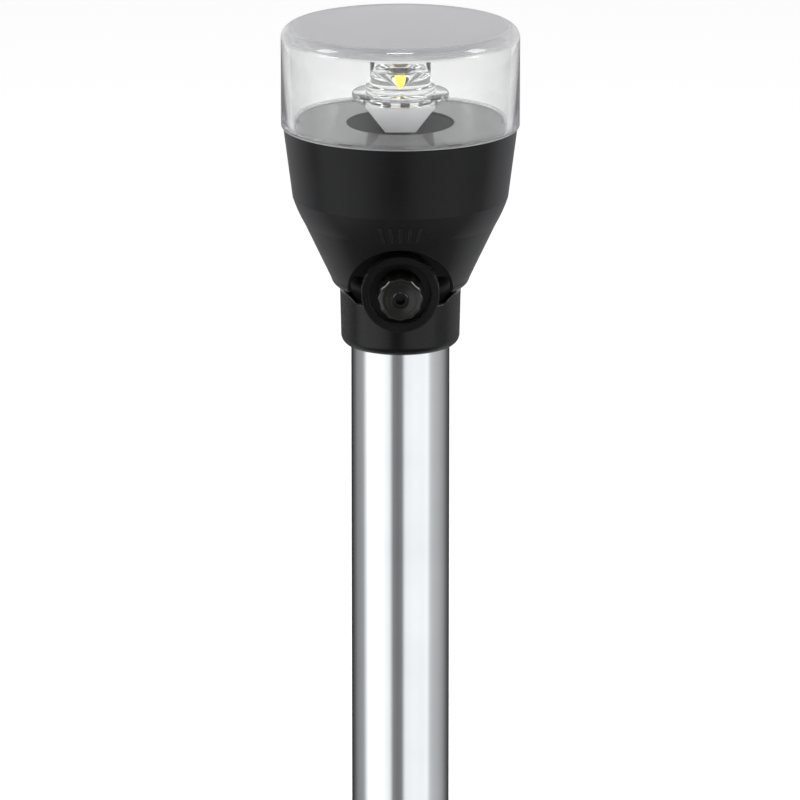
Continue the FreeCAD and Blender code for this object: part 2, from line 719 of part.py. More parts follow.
def heat_spreader(d):
    """The aluminium disc screwed under the deck, which takes the heat of the light source."""
    body = new_body("heat_spreader")
    top, bore, edge = d["deck_top"] - 2.2, 2.4, 25.5
    revolve(body, [(bore, SPREADER_FOOT), (edge, SPREADER_FOOT), (edge, top), (bore, top)])
    hole = sketch_on(body, "XY_Plane", SPREADER_FOOT - 1.0)
    draw_circle(hole, SPREADER_CIRCLE, 0, PILOT)
    repeat_round(body, extrude(body, hole, 4.0, cut=True), 3)
    place(body, d["pivot_height"])
    return keep(body, "heat_spreader")


def small_screws(label, d, circle, count, turn, head, shank, seat, length, facing):
    """Identical small screws on a circle, heads up or heads down on their seat."""
    pieces = []
    for number in range(count):
        angle = math.radians(turn + 360 / count * number)
        across, along = circle * math.cos(angle), circle * math.sin(angle)
        head_span = (seat, seat + 1.3) if facing == "up" else (seat - 1.3, seat)
        shank_span = (seat - length, seat + 0.5) if facing == "up" else (seat - 0.5, seat + length)
        cap = rod(f"{label}_head_{number}", head, *head_span, across, along, d["pivot_height"])
        stem = rod(f"{label}_stem_{number}", shank, *shank_span, across, along, d["pivot_height"])
        pieces.append(fused(f"{label}_{number}", [cap, stem]))
    return grouped(label, pieces)


def pivot_inserts(d):
    """Two brass inserts moulded into the ends of the trunnion."""
    pieces = []
    for facing in ("front", "back"):
        body = new_body("insert_" + facing)
        end = d["trunnion_half"] - 0.05
        revolve(body, [(d["pivot_screw_radius"] + 0.05, end - 4.5), (d["insert_radius"], end - 4.5),
                       (d["insert_radius"], end), (d["pivot_screw_radius"] + 0.05, end)])
        place(body, d["pivot_height"], facing)
        pieces.append(body)
    return grouped("pivot_inserts", pieces)


def friction_washers(d):
    """Two washers between the trunnion's ends and the cheeks."""
    pieces = []
    for facing in ("front", "back"):
        body = new_body("friction_washer_" + facing)
        inner, outer = d["pivot_screw_radius"] + 0.1, 6.8
        revolve(body, [(inner, d["trunnion_half"] + 0.1), (outer, d["trunnion_half"] + 0.1),
                       (outer, d["cheek_inside"]), (inner, d["cheek_inside"])])
        place(body, d["pivot_height"], facing)
        pieces.append(body)
    return grouped("friction_washers", pieces)


def pivot_screw(d):
    """The steel clamp screw, its socket end in the middle of the knob."""
    start = d["trunnion_half"] - 4.2
    end = d["cheek_outside"] - d["recess_depth"] + 0.1 + d["knob_length"]
    radius = d["pivot_screw_radius"]
    tip, socket, face, floor = d["screw_end_radius"], 1.2, end + 0.1, end - 2.0
    corners = [(0, start), (radius - 0.5, start), (radius, start + 0.5), (radius, SCREW_STEP),
               (tip, SCREW_STEP), (tip, face - 0.2), (tip - 0.2, face), (socket, face), (socket, floor),
               (0, floor)]
    return turned("pivot_screw", corners, d["pivot_height"], "front")


def pivot_knob(d):
    """The black knob moulded on the clamp screw, fluted round its shoulder."""
    body = new_body("pivot_knob")
    start = d["cheek_outside"] - d["recess_depth"] + 0.1 + 0.6
    end = start + d["knob_length"] - 0.6
    radius, face, tip, stem = (d["knob_radius"], d["knob_face_radius"], d["screw_end_radius"],
                               d["pivot_screw_radius"])
    revolve(body, [(tip, SCREW_STEP), (stem, SCREW_STEP), (stem, start), (radius - 0.2, start),
                   (radius, start + 0.4), (radius - 0.1, end - 1.9, 1.6), (face, end - 0.4), (tip, end)])
    flute = sketch_on(body, "XY_Plane", start - 0.5)
    draw_circle(flute, radius + 0.4, 0, 0.9)
    repeat_round(body, extrude(body, flute, 9.0, cut=True), KNOB_FLUTES)
    place(body, d["pivot_height"], "front")
    return keep(body, "pivot_knob")


def rear_pivot_screw(d):
    """The fixed screw at the back, a low round head with a socket."""
    seat = d["cheek_outside"] - d["recess_depth"]
    radius = d["pivot_screw_radius"]
    corners = [(0, seat - 7.0), (radius, seat - 7.0), (radius, seat), (5.2, seat), (5.2, seat + 1.0, 2.2),
               (3.4, seat + 2.2), (1.6, seat + 2.2), (1.6, seat + 0.6), (0, seat + 0.6)]
    return turned("rear_pivot_screw", corners, d["pivot_height"], "back")


def wiring(d):
    """The pairs of wires: plug to pivot, pivot to driver board, and driver board to the light source."""
    wire, aside = d["wire_radius"], d["wire_offset"]
    pivot = d["pivot_height"]
    for name, side in (("positive", -1), ("negative", 1)):
        contact = FreeCAD.Vector(d["contact_offset"].value * side, 0, 9.05)
        rise = FreeCAD.Vector(contact.x, 0, 40.0)
        gather = FreeCAD.Vector(0, aside.value * side, 75.0)
        top = FreeCAD.Vector(0, aside.value * side, pivot.value - 0.4)
        cord(f"pole_wire_{name}", [contact, rise, gather, top], wire.value)
        keep(rod(f"head_wire_{name}", wire, 0.4, d["board_height"], 0, aside * side, pivot),
             f"head_wire_{name}")
        keep(rod(f"source_wire_{name}", 0.6, d["board_height"] + d["board_thick"], d["stand_top"], 0,
                 aside * side, pivot), f"source_wire_{name}")


def build(d):
    """Every sub-part of the light, from the plug up."""
    plug_body(d)
    contact_pins(d)
    plug_seal(d)
    thrust_washer(d)
    locking_collar(d)
    pole_tube(d)
    tube_rivets(d)
    pole_yoke(d)
    friction_washers(d)
    rear_pivot_screw(d)
    pivot_screw(d)
    pivot_knob(d)
    recess = d["cheek_outside"] - d["recess_depth"]
    ring("knob_washer", d["pivot_screw_radius"] + 0.05, 5.0, recess + 0.05, recess + 0.65, d["pivot_height"],
         "front")
    head_housing(d)
    pivot_inserts(d)
    floor = d["cavity_floor"]
    turned("wire_grommet", [(2.3, floor - 3.0), (3.15, floor - 3.0), (3.15, floor), (4.6, floor),
                            (4.6, floor + 1.0), (2.3, floor + 1.0)], d["pivot_height"])
    driver_board(d)
    driver_parts(d)
    small_screws("board_screws", d, d["post_circle"], 3, 0, 2.2, 1.2, d["board_height"] + d["board_thick"],
                 7.0, "up")
    heat_spreader(d)
    small_screws("spreader_screws", d, as_size(SPREADER_CIRCLE), 3, 0, 2.0, 1.0,
                 as_size(SPREADER_FOOT), 2.6, "down")
    ring("lens_gasket", 26.3, 28.6, d["seat_height"], d["seat_height"] + d["gasket_thick"],
         d["pivot_height"])
    deck_plate(d)
    optic_stand(d)
    source = d["stand_top"] + d["source_board_thick"]
    ring("led_board", 1.9, 6.0, d["stand_top"], source, d["pivot_height"])
    keep(block("led_chip", (3.0, 3.0, d["chip_thick"]), (0, 0), source, d["pivot_height"]), "led_chip")
    light_optic(d)
    lens_globe(d)
    wiring(d)


def check_document():
    """Stop before anything is written if an object failed or a sub-part has no sound shape."""
    doc.recompute()
    for item in doc.Objects:
        if "Invalid" in item.State or "Error" in item.State:
            raise RuntimeError(f"{item.Label} failed: {item.State}")
    for part in parts:
        if part.Shape.isNull() or not part.Shape.isValid():
            raise RuntimeError(f"{part.Label} has no sound shape")


def write_parts():
    """One STEP file a sub-part."""
    os.makedirs("parts", exist_ok=True)
    for part in parts:
        part.Shape.exportStep(f"parts/{part.Label}.step")
        print(f"{part.Label}: {len(part.Shape.Solids)} solids, {part.Shape.Volume:.1f} mm3")


build(fill_sheet())
check_document()
write_parts()
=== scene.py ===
import bmesh
import bpy
import json
import math
import numpy as np
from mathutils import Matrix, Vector


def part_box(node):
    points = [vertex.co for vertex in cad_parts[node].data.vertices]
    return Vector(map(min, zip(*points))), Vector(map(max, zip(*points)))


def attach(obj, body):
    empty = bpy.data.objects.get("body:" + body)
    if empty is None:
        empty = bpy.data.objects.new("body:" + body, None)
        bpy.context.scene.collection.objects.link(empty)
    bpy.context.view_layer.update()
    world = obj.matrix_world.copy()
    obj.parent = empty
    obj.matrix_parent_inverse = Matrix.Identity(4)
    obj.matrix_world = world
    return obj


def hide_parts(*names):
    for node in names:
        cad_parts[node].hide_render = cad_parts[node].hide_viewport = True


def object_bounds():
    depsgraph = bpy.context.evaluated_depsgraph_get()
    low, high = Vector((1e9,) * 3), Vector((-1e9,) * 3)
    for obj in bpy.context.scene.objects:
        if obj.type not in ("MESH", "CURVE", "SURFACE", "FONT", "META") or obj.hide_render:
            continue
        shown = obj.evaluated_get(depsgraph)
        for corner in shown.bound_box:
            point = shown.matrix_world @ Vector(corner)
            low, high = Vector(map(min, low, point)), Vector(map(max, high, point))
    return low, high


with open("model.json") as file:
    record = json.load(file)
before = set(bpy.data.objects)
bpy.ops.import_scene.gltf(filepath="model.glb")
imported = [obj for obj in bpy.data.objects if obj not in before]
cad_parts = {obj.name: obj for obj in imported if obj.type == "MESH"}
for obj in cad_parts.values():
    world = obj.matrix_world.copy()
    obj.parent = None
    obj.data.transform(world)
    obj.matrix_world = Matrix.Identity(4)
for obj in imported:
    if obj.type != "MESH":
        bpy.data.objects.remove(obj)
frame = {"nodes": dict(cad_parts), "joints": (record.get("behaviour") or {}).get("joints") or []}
cad_box = [list(corner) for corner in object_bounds()]
nodes = frame["nodes"]
joint_place = {joint["name"]: joint.get("pos_m") for joint in frame["joints"]}
PIVOT = joint_place["head_tilt"][2]
MM = 0.001

# ---- Plug ----------------------------------------------------------------------------------------
# The plug at the pole's foot is one injection moulding in black glass-filled nylon: a barrel for the
# socket, a flange to stand on, and a hollow spigot pushed up inside the tube.


def add_node(tree, kind, place=None, **values):
    """A node in a tree; its sockets take the values or the links given by name (spaces as _)."""
    node = tree.nodes.new(kind)
    for name, value in values.items():
        socket = node.inputs[name.replace("_", " ")] if not name.isdigit() else node.inputs[int(name)]
        if isinstance(value, bpy.types.NodeSocket):
            tree.links.new(value, socket)
        else:
            socket.default_value = value
    return node


def new_group(name, inputs, outputs):
    """A node group with named float or colour sockets, and its input and output nodes."""
    tree = bpy.data.node_groups.new(name, "ShaderNodeTree")
    for label, kind, default in inputs:
        socket = tree.interface.new_socket(label, in_out="INPUT", socket_type=kind)
        if default is not None:
            socket.default_value = default
    for label, kind in outputs:
        tree.interface.new_socket(label, in_out="OUTPUT", socket_type=kind)
    return tree, tree.nodes.new("NodeGroupInput"), tree.nodes.new("NodeGroupOutput")


def grain_group():
    """Moulded grain: fine noise raised as a bump on edges broken to a small radius, slow patches in the
    gloss, and a mask of where the edges are rubbed."""
    tree, inside, out = new_group(
        "moulded_grain",
        [("Scale", "NodeSocketFloat", 2600.0), ("Height", "NodeSocketFloat", 0.2),
         ("Low", "NodeSocketFloat", 0.35), ("High", "NodeSocketFloat", 0.5),
         ("Edge", "NodeSocketFloat", 0.0003)],
        [("Roughness", "NodeSocketFloat"), ("Normal", "NodeSocketVector"), ("Patches", "NodeSocketFloat"),
         ("Rubbed", "NodeSocketFloat")])
    place = tree.nodes.new("ShaderNodeTexCoord").outputs["Object"]
    fine = add_node(tree, "ShaderNodeTexNoise", Vector=place, Scale=inside.outputs["Scale"], Detail=2.0)
    slow = add_node(tree, "ShaderNodeTexNoise", Vector=place, Scale=70.0, Detail=5.0)
    broken = add_node(tree, "ShaderNodeBevel", Radius=inside.outputs["Edge"])
    broken.samples = 6
    bump = add_node(tree, "ShaderNodeBump", Strength=inside.outputs["Height"], Distance=0.00003,
                    Height=fine.outputs["Fac"], Normal=broken.outputs["Normal"])
    gloss = add_node(tree, "ShaderNodeMapRange", Value=slow.outputs["Fac"], From_Min=0.3, From_Max=0.7,
                     To_Min=inside.outputs["Low"], To_Max=inside.outputs["High"])
    flat = tree.nodes.new("ShaderNodeNewGeometry").outputs["True Normal"]
    turn = tree.nodes.new("ShaderNodeVectorMath")
    turn.operation = "DOT_PRODUCT"
    tree.links.new(broken.outputs["Normal"], turn.inputs[0])
    tree.links.new(flat, turn.inputs[1])
    rubbed = add_node(tree, "ShaderNodeMapRange", Value=turn.outputs["Value"], From_Min=0.99, From_Max=0.9,
                      To_Min=0.0, To_Max=1.0)
    broken_up = add_node(tree, "ShaderNodeMath", **{"0": rubbed.outputs["Result"], "1": slow.outputs["Fac"]})
    broken_up.operation = "MULTIPLY"
    tree.links.new(gloss.outputs["Result"], out.inputs["Roughness"])
    tree.links.new(bump.outputs["Normal"], out.inputs["Normal"])
    tree.links.new(slow.outputs["Fac"], out.inputs["Patches"])
    tree.links.new(broken_up.outputs["Value"], out.inputs["Rubbed"])
    return tree


def dust_group():
    """Fine dust: a speckled mask that is strongest where a surface faces up."""
    tree, inside, out = new_group("fine_dust", [("Amount", "NodeSocketFloat", 0.2)],
                                  [("Mask", "NodeSocketFloat")])
    place = tree.nodes.new("ShaderNodeTexCoord").outputs["Object"]
    speck = add_node(tree, "ShaderNodeTexNoise", Vector=place, Scale=1400.0, Detail=3.0)
    sparse = add_node(tree, "ShaderNodeMapRange", Value=speck.outputs["Fac"], From_Min=0.45, From_Max=0.75)
    up = tree.nodes.new("ShaderNodeSeparateXYZ")
    tree.links.new(tree.nodes.new("ShaderNodeNewGeometry").outputs["Normal"], up.inputs["Vector"])
    facing = add_node(tree, "ShaderNodeMapRange", Value=up.outputs["Z"], From_Min=-0.3, From_Max=1.0,
                      To_Min=0.1, To_Max=1.0)
    both = add_node(tree, "ShaderNodeMath", **{"0": sparse.outputs["Result"], "1": facing.outputs["Result"]})
    both.operation = "MULTIPLY"
    share = add_node(tree, "ShaderNodeMath", **{"0": both.outputs["Value"], "1": inside.outputs["Amount"]})
    share.operation = "MULTIPLY"
    tree.links.new(share.outputs["Value"], out.inputs["Mask"])
    return tree


dust = dust_group()
grain = grain_group()


def new_material(name):
    """A material with a Principled shader, its tree and that shader."""
    material = bpy.data.materials.new(name)
    material.use_nodes = True
    return material, material.node_tree, material.node_tree.nodes["Principled BSDF"]


def place_group(tree, group, **values):
    """A shared group placed in a material with its own values."""
    node = tree.nodes.new("ShaderNodeGroup")
    node.node_tree = group
    for name, value in values.items():
        node.inputs[name].default_value = value
    return node


def two_tone(tree, factor, dark, light, low=0.3, high=0.7):
    """A colour that runs from dark to light as a factor goes from low to high."""
    ramp = tree.nodes.new("ShaderNodeValToRGB")
    ramp.color_ramp.elements[0].position = low
    ramp.color_ramp.elements[0].color = (*dark, 1)
    ramp.color_ramp.elements[1].position = high
    ramp.color_ramp.elements[1].color = (*light, 1)
    tree.links.new(factor, ramp.inputs["Fac"])
    return ramp.outputs["Color"]


def colour_mix(tree, factor, first, second):
    """Two colours mixed by a factor; the second may be a plain colour."""
    mix = tree.nodes.new("ShaderNodeMix")
    mix.data_type = "RGBA"
    tree.links.new(factor, mix.inputs[0])
    tree.links.new(first, mix.inputs[6])
    mix.inputs[7].default_value = (*second, 1)
    return mix.outputs[2]


def moulded_plastic(name, dark, light, low, high, specular=0.3, grain_height=0.2, grain_scale=2600.0,
                    edge=0.0003, dusty=0.08, sheen=0.0, painted_rim_light=0.0):
    """Satin moulded plastic: a two-tone base, rubbed edges, a little dust, moulded grain, patchy gloss.
    Where it is seen at a slant its base colour is painted lighter toward light grey, a painted rim
    highlight, by the share given in the last argument."""
    material, tree, shader = new_material(name)
    mould = place_group(tree, grain, Scale=grain_scale, Height=grain_height, Low=low, High=high, Edge=edge)
    settled = place_group(tree, dust, Amount=dusty)
    base = two_tone(tree, mould.outputs["Patches"], dark, light)
    worn = colour_mix(tree, mould.outputs["Rubbed"], base, [channel * 1.6 + 0.012 for channel in light])
    dust_and_painted_rim = colour_mix(tree, settled.outputs["Mask"], worn, (0.30, 0.29, 0.27))
    # Painted rim highlight: toward the silhouette the base colour is mixed toward light grey.
    if painted_rim_light:
        painted_rim_facing = add_node(tree, "ShaderNodeLayerWeight", Blend=0.3)
        share = add_node(tree, "ShaderNodeMapRange", Value=painted_rim_facing.outputs["Facing"], From_Min=0.25,
                         From_Max=0.9, To_Max=painted_rim_light)
        dust_and_painted_rim = colour_mix(tree, share.outputs["Result"], dust_and_painted_rim, (0.15, 0.15, 0.155))
    tree.links.new(dust_and_painted_rim, shader.inputs["Base Color"])
    tree.links.new(mould.outputs["Roughness"], shader.inputs["Roughness"])
    tree.links.new(mould.outputs["Normal"], shader.inputs["Normal"])
    shader.inputs["Specular IOR Level"].default_value = specular
    shader.inputs["Sheen Weight"].default_value = sheen
    shader.inputs["Sheen Roughness"].default_value = 0.3
    return material


def dress(name, material):
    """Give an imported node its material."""
    mesh = nodes[name].data
    mesh.materials.clear()
    mesh.materials.append(material)


black_nylon = moulded_plastic("black_nylon", (0.007, 0.007, 0.008), (0.013, 0.013, 0.014), 0.34, 0.48)
dress("plug_body", black_nylon)

# ---- Contact pins and plug seal --------------------------------------------------------------------
# Two turned brass pins pressed into the barrel, and a nitrile ring in the barrel's groove that keeps
# water out of the socket.


def turned_metal(name, dark, light, roughness, ring_scale=900.0, axis=2):
    """Turned metal: fine tool rings across the axis and slightly uneven colour."""
    material, tree, shader = new_material(name)
    place = tree.nodes.new("ShaderNodeTexCoord").outputs["Object"]
    stretch = [40.0, 40.0, 40.0]
    stretch[axis] = ring_scale
    mapping = add_node(tree, "ShaderNodeMapping", Vector=place, Scale=stretch)
    rings = add_node(tree, "ShaderNodeTexNoise", Vector=mapping.outputs["Vector"], Scale=3.0, Detail=4.0)
    tree.links.new(two_tone(tree, rings.outputs["Fac"], dark, light), shader.inputs["Base Color"])
    gloss = add_node(tree, "ShaderNodeMapRange", Value=rings.outputs["Fac"], To_Min=roughness * 0.75,
                     To_Max=roughness * 1.3)
    tree.links.new(gloss.outputs["Result"], shader.inputs["Roughness"])
    bump = add_node(tree, "ShaderNodeBump", Strength=0.15, Distance=0.00002, Height=rings.outputs["Fac"])
    tree.links.new(bump.outputs["Normal"], shader.inputs["Normal"])
    shader.inputs["Metallic"].default_value = 1.0
    return material


turned_brass = turned_metal("turned_brass", (0.55, 0.36, 0.13), (0.80, 0.60, 0.28), 0.22)
dress("contact_pins", turned_brass)
dress("pivot_inserts", turned_brass)
nitrile = moulded_plastic("nitrile_rubber", (0.012, 0.012, 0.012), (0.024, 0.024, 0.025), 0.6, 0.8,
                          grain_scale=1800.0)
for seal in ("plug_seal", "wire_grommet", "lens_gasket"):
    dress(seal, nitrile)

# ---- Thrust washer and friction washers ------------------------------------------------------------
# Punched natural nylon rings: one under the locking collar's lip, and two at the ends of the trunnion.
# They are loose pieces, held in place by the parts on either side.
natural_nylon = moulded_plastic("natural_nylon", (0.66, 0.64, 0.58), (0.80, 0.79, 0.74), 0.4, 0.55)
dress("thrust_washer", natural_nylon)
dress("friction_washers", natural_nylon)

# ---- Locking collar --------------------------------------------------------------------------------
# A moulded black nylon ring with grip ribs outside and a coarse thread inside. It is free to slide and
# turn on the pole until it is screwed to the socket.
dress("locking_collar", black_nylon)

# ---- Pole tube -------------------------------------------------------------------------------------
# Drawn aluminium tube, one inch across, polished and clear anodised, and cut square with a broken edge.
# The plug and the yoke are pushed into its ends and riveted from the back.


def grid_mesh(name, x, y, z, close_rows=True):
    """A mesh on a grid of points: columns go round and join, and rows join too if close_rows is set.
    Points that fall together, as at a pole, are merged."""
    rows, columns = x.shape
    points = np.stack([x, y, z], axis=-1).reshape(-1, 3)
    row = np.arange(rows if close_rows else rows - 1)[:, None]
    column = np.arange(columns)[None, :]
    next_row, next_column = (row + 1) % rows, (column + 1) % columns
    quads = np.stack([row * columns + column, row * columns + next_column,
                      next_row * columns + next_column, next_row * columns + column], axis=-1)
    mesh = bpy.data.meshes.new(name)
    mesh.from_pydata(points.tolist(), [], quads.reshape(-1, 4).tolist())
    work = bmesh.new()
    work.from_mesh(mesh)
    bmesh.ops.remove_doubles(work, verts=work.verts, dist=1e-7)
    bmesh.ops.dissolve_degenerate(work, edges=work.edges, dist=1e-8)
    bmesh.ops.recalc_face_normals(work, faces=work.faces)
    work.to_mesh(mesh)
    work.free()
    mesh.shade_smooth()
    mesh.set_sharp_from_angle(angle=math.radians(32))
    piece = bpy.data.objects.new(name, mesh)
    bpy.context.scene.collection.objects.link(piece)
    return piece


def soft_outline(corners, steps=5):
    """An outline with its corners rounded: each (r, z, radius) corner becomes an arc of that radius,
    tangent to its two sides, and a corner with no radius stays sharp."""
    points = [np.array(corner[:2], float) for corner in corners]
    out = []
    for number, corner in enumerate(corners):
        here = points[number]
        radius = corner[2] if len(corner) > 2 else 0.0
        if radius == 0:
            out.append(here)
            continue
        back = points[number - 1] - here
        on = points[(number + 1) % len(points)] - here
        back, on = back / np.linalg.norm(back), on / np.linalg.norm(on)
        half = math.acos(np.clip(back @ on, -1, 1)) / 2
        middle = back + on
        centre = here + middle / np.linalg.norm(middle) * radius / math.sin(half)
        start, end = here + back * radius / math.tan(half), here + on * radius / math.tan(half)
        first, last = start - centre, end - centre
        share = np.linspace(0, 1, steps + 1)[:, None]
        turn = math.pi - 2 * half
        arc = (np.sin((1 - share) * turn) * first + np.sin(share * turn) * last) / math.sin(turn)
        out.extend(centre + arc)
    return np.array(out)


def turned_piece(name, outline, columns=160, height=0.0, facing="up", closed=True):
    """A surface of revolution: every outline point (r, z) in millimetres goes round the axis, so that
    x = r cos a and y = r sin a. Facing front or back, the axis lies along Y through the pivot. An outline
    that isn't closed starts and ends on the axis."""
    angle = np.linspace(0, 2 * math.pi, columns, endpoint=False)[None, :]
    radius, along = outline[:, 0][:, None] * MM, outline[:, 1][:, None] * MM
    return set_on_axis(name, radius * np.cos(angle), radius * np.sin(angle), along + 0 * angle, height,
                       facing, closed)


def set_on_axis(name, x, y, z, height=0.0, facing="up", closed=True):
    """Grid points stood up on the pole's axis, or laid to the front or the back at a height."""
    if facing == "front":
        y, z = -z, y
    elif facing == "back":
        y, z = z, -y
    return grid_mesh(name, x, y, z + height, closed)


def finish_piece(piece, material, slot, body, *replaced):
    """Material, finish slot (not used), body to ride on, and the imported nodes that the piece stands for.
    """
    piece.data.materials.append(material)
    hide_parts(*replaced)
    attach(piece, body)
    return piece


def polished_tube():
    """Clear anodised aluminium: bright, with faint draw lines along the pole and a few handling marks."""
    material, tree, shader = new_material("polished_tube")
    place = tree.nodes.new("ShaderNodeTexCoord").outputs["Object"]
    lines = add_node(tree, "ShaderNodeTexNoise", Scale=4.0, Detail=4.0, Vector=add_node(
        tree, "ShaderNodeMapping", Vector=place, Scale=(900.0, 900.0, 6.0)).outputs["Vector"])
    marks = add_node(tree, "ShaderNodeTexNoise", Vector=place, Scale=60.0, Detail=6.0)
    tree.links.new(two_tone(tree, marks.outputs["Fac"], (0.86, 0.875, 0.89), (0.93, 0.94, 0.95)),
                   shader.inputs["Base Color"])
    gloss = add_node(tree, "ShaderNodeMapRange", Value=lines.outputs["Fac"], To_Min=0.07, To_Max=0.15)
    tree.links.new(gloss.outputs["Result"], shader.inputs["Roughness"])
    bump = add_node(tree, "ShaderNodeBump", Strength=0.04, Distance=0.00001, Height=lines.outputs["Fac"])
    tree.links.new(bump.outputs["Normal"], shader.inputs["Normal"])
    shader.inputs["Metallic"].default_value = 1.0
    return material


TUBE_R, TUBE_WALL = 12.7, 1.6
tube_low, tube_high = (corner.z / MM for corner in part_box("pole_tube"))
tube = turned_piece("polished_pole", soft_outline(
    [(TUBE_R - TUBE_WALL, tube_low, 0.15), (TUBE_R, tube_low, 0.25), (TUBE_R, tube_high, 0.25),
     (TUBE_R - TUBE_WALL, tube_high, 0.15)]), columns=256)
finish_piece(tube, polished_tube(), "aluminium_tube", "pole", "pole_tube")

# ---- Tube rivets -----------------------------------------------------------------------------------
# Aluminium dome rivets in the back of the tube, one into the plug's spigot and one into the yoke's. The
# heat spreader under the deck has the same plain metal.
plain_aluminium = turned_metal("plain_aluminium", (0.62, 0.63, 0.64), (0.80, 0.81, 0.82), 0.3)
dress("tube_rivets", plain_aluminium)
dress("heat_spreader", plain_aluminium)

# ---- Yoke ------------------------------------------------------------------------------------------
# Black moulded collar on the tube's top, with a cheek at the front and one at the back. The clamp screw
# pulls the cheeks onto the head's trunnion.
# Its base colour is painted lighter toward the silhouette, a painted rim highlight.
yoke_black = moulded_plastic("yoke_black", (0.002, 0.002, 0.0025), (0.005, 0.005, 0.006), 0.2, 0.3,
                             edge=0.0005, dusty=0.03, sheen=0.03, painted_rim_light=0.5)
dress("pole_yoke", yoke_black)

# ---- Pivot hardware --------------------------------------------------------------------------------
# Blackened clamp screw with a socket end, moulded into a fluted black knob, and a stainless screw fixed
# behind. The small screws inside the head are stainless too.
stainless = turned_metal("stainless", (0.42, 0.42, 0.43), (0.62, 0.62, 0.63), 0.25, axis=1)
for fastener in ("rear_pivot_screw", "knob_washer", "board_screws", "spreader_screws"):
    dress(fastener, stainless)
blackened = turned_metal("blackened_steel", (0.020, 0.020, 0.021), (0.045, 0.045, 0.047), 0.3, axis=1)
dress("pivot_screw", blackened)


def fluted_knob(name, outline, flutes, depth, span, columns_per_flute=20):
    """The knob's turned outline with scallops: at each point the radius is r - depth s(along) f(a), where
    f = (1/2 - 1/2 cos(flutes a)) ^ 0.75 and s fades to nothing outside the fluted span."""
    angle = np.linspace(0, 2 * math.pi, flutes * columns_per_flute, endpoint=False)[None, :]
    radius, along = outline[:, :1], outline[:, 1:]
    scallop = (0.5 - 0.5 * np.cos(flutes * angle)) ** 0.75
    fade = np.clip((along - span[0]) / 0.8, 0, 1) * np.clip((span[1] - along) / 1.2, 0, 1)
    fade = fade * np.clip((radius - 4.2) / 1.0, 0, 1)
    cut = (radius - depth * fade * scallop) * MM
    return set_on_axis(name, cut * np.cos(angle), cut * np.sin(angle), along * MM + 0 * angle, PIVOT,
                       "front")


knob_black = moulded_plastic("knob_black", (0.005, 0.005, 0.004), (0.010, 0.010, 0.008), 0.16, 0.24,
                             specular=0.5, dusty=0.03)
knob_line = soft_outline([(2.12, 15.5), (2.5, 15.5), (2.5, 14.4), (5.8, 14.4, 0.2), (6.0, 14.8, 0.2),
                          (5.95, 17.0), (5.9, 19.0), (5.8, 21.6, 1.5), (3.9, 21.7, 3.0), (2.12, 22.0, 0.15)],
                         steps=8)
knob = fluted_knob("knob_grip", knob_line, 12, 0.28, (14.6, 21.9))
finish_piece(knob, knob_black, "black_plastic", "pivot_knob", "pivot_knob")

# ---- Head housing ----------------------------------------------------------------------------------
# Black moulded cone with a skirt over the yoke and a trunnion between its cheeks. Where it is seen at a
# slant its base colour is painted lighter, a painted rim highlight.
housing_black = moulded_plastic("housing_black", (0.002, 0.002, 0.0025), (0.005, 0.005, 0.006), 0.32, 0.44,
                                specular=0.25, dusty=0.03, sheen=0.04, painted_rim_light=0.8)
dress("head_housing", housing_black)

# ---- Driver board, its parts and the wires -----------------------------------------------------------
# Green glass-epoxy board with a choke, two capacitors and a controller, screwed inside the housing. The
# stranded wires are red and black.
solder_mask = moulded_plastic("solder_mask", (0.010, 0.085, 0.032), (0.016, 0.125, 0.050), 0.25, 0.35)
dress("driver_board", solder_mask)


def star_board(name, painted_bands):
    """The light source's board: bright solder mask with dark spokes laid out like a star, a painted
    reflection that gives the optic's well a fan of dark and bright bands.
    """
    material, tree, shader = new_material(name)
    place = tree.nodes.new("ShaderNodeTexCoord").outputs["Object"]
    around = add_node(tree, "ShaderNodeTexGradient", Vector=place)
    around.gradient_type = "RADIAL"
    count = add_node(tree, "ShaderNodeMath", **{"0": around.outputs["Fac"], "1": float(painted_bands)})
    count.operation = "MULTIPLY"
    wrap = add_node(tree, "ShaderNodeMath", **{"0": count.outputs["Value"], "1": 1.0})
    wrap.operation = "PINGPONG"
    # Painted reflection: dark spokes that show through the optic's well as a fan of bands.
    painted_band_colour = two_tone(tree, wrap.outputs["Value"], (0.86, 0.87, 0.84), (0.012, 0.012, 0.016), 0.46, 0.54)
    tree.links.new(painted_band_colour, shader.inputs["Base Color"])
    mould = place_group(tree, grain, Scale=900.0, Height=0.05, Low=0.3, High=0.4)
    tree.links.new(mould.outputs["Roughness"], shader.inputs["Roughness"])
    return material


dress("led_board", star_board("star_board", 18))
component = moulded_plastic("component_black", (0.020, 0.020, 0.022), (0.034, 0.034, 0.038), 0.3, 0.5)
dress("driver_parts", component)
red_vinyl = moulded_plastic("red_vinyl", (0.42, 0.012, 0.012), (0.55, 0.022, 0.018), 0.3, 0.42)
black_vinyl = moulded_plastic("black_vinyl", (0.010, 0.010, 0.010), (0.018, 0.018, 0.018), 0.3, 0.42)
for stretch in ("pole", "head", "source"):
    dress(f"{stretch}_wire_positive", red_vinyl)
    dress(f"{stretch}_wire_negative", black_vinyl)

# ---- Deck ------------------------------------------------------------------------------------------
# Glossy black moulded disc under the lens, with a shallow well for the stand. The well is lined with a
# near-black sheet that reflects almost nothing, painted shade that darkens the well.
deck_gloss = moulded_plastic("deck_gloss", (0.006, 0.006, 0.007), (0.012, 0.012, 0.014), 0.10, 0.18,
                             specular=0.85, grain_height=0.04, grain_scale=900.0, dusty=0.3)
dress("deck_plate", deck_gloss)
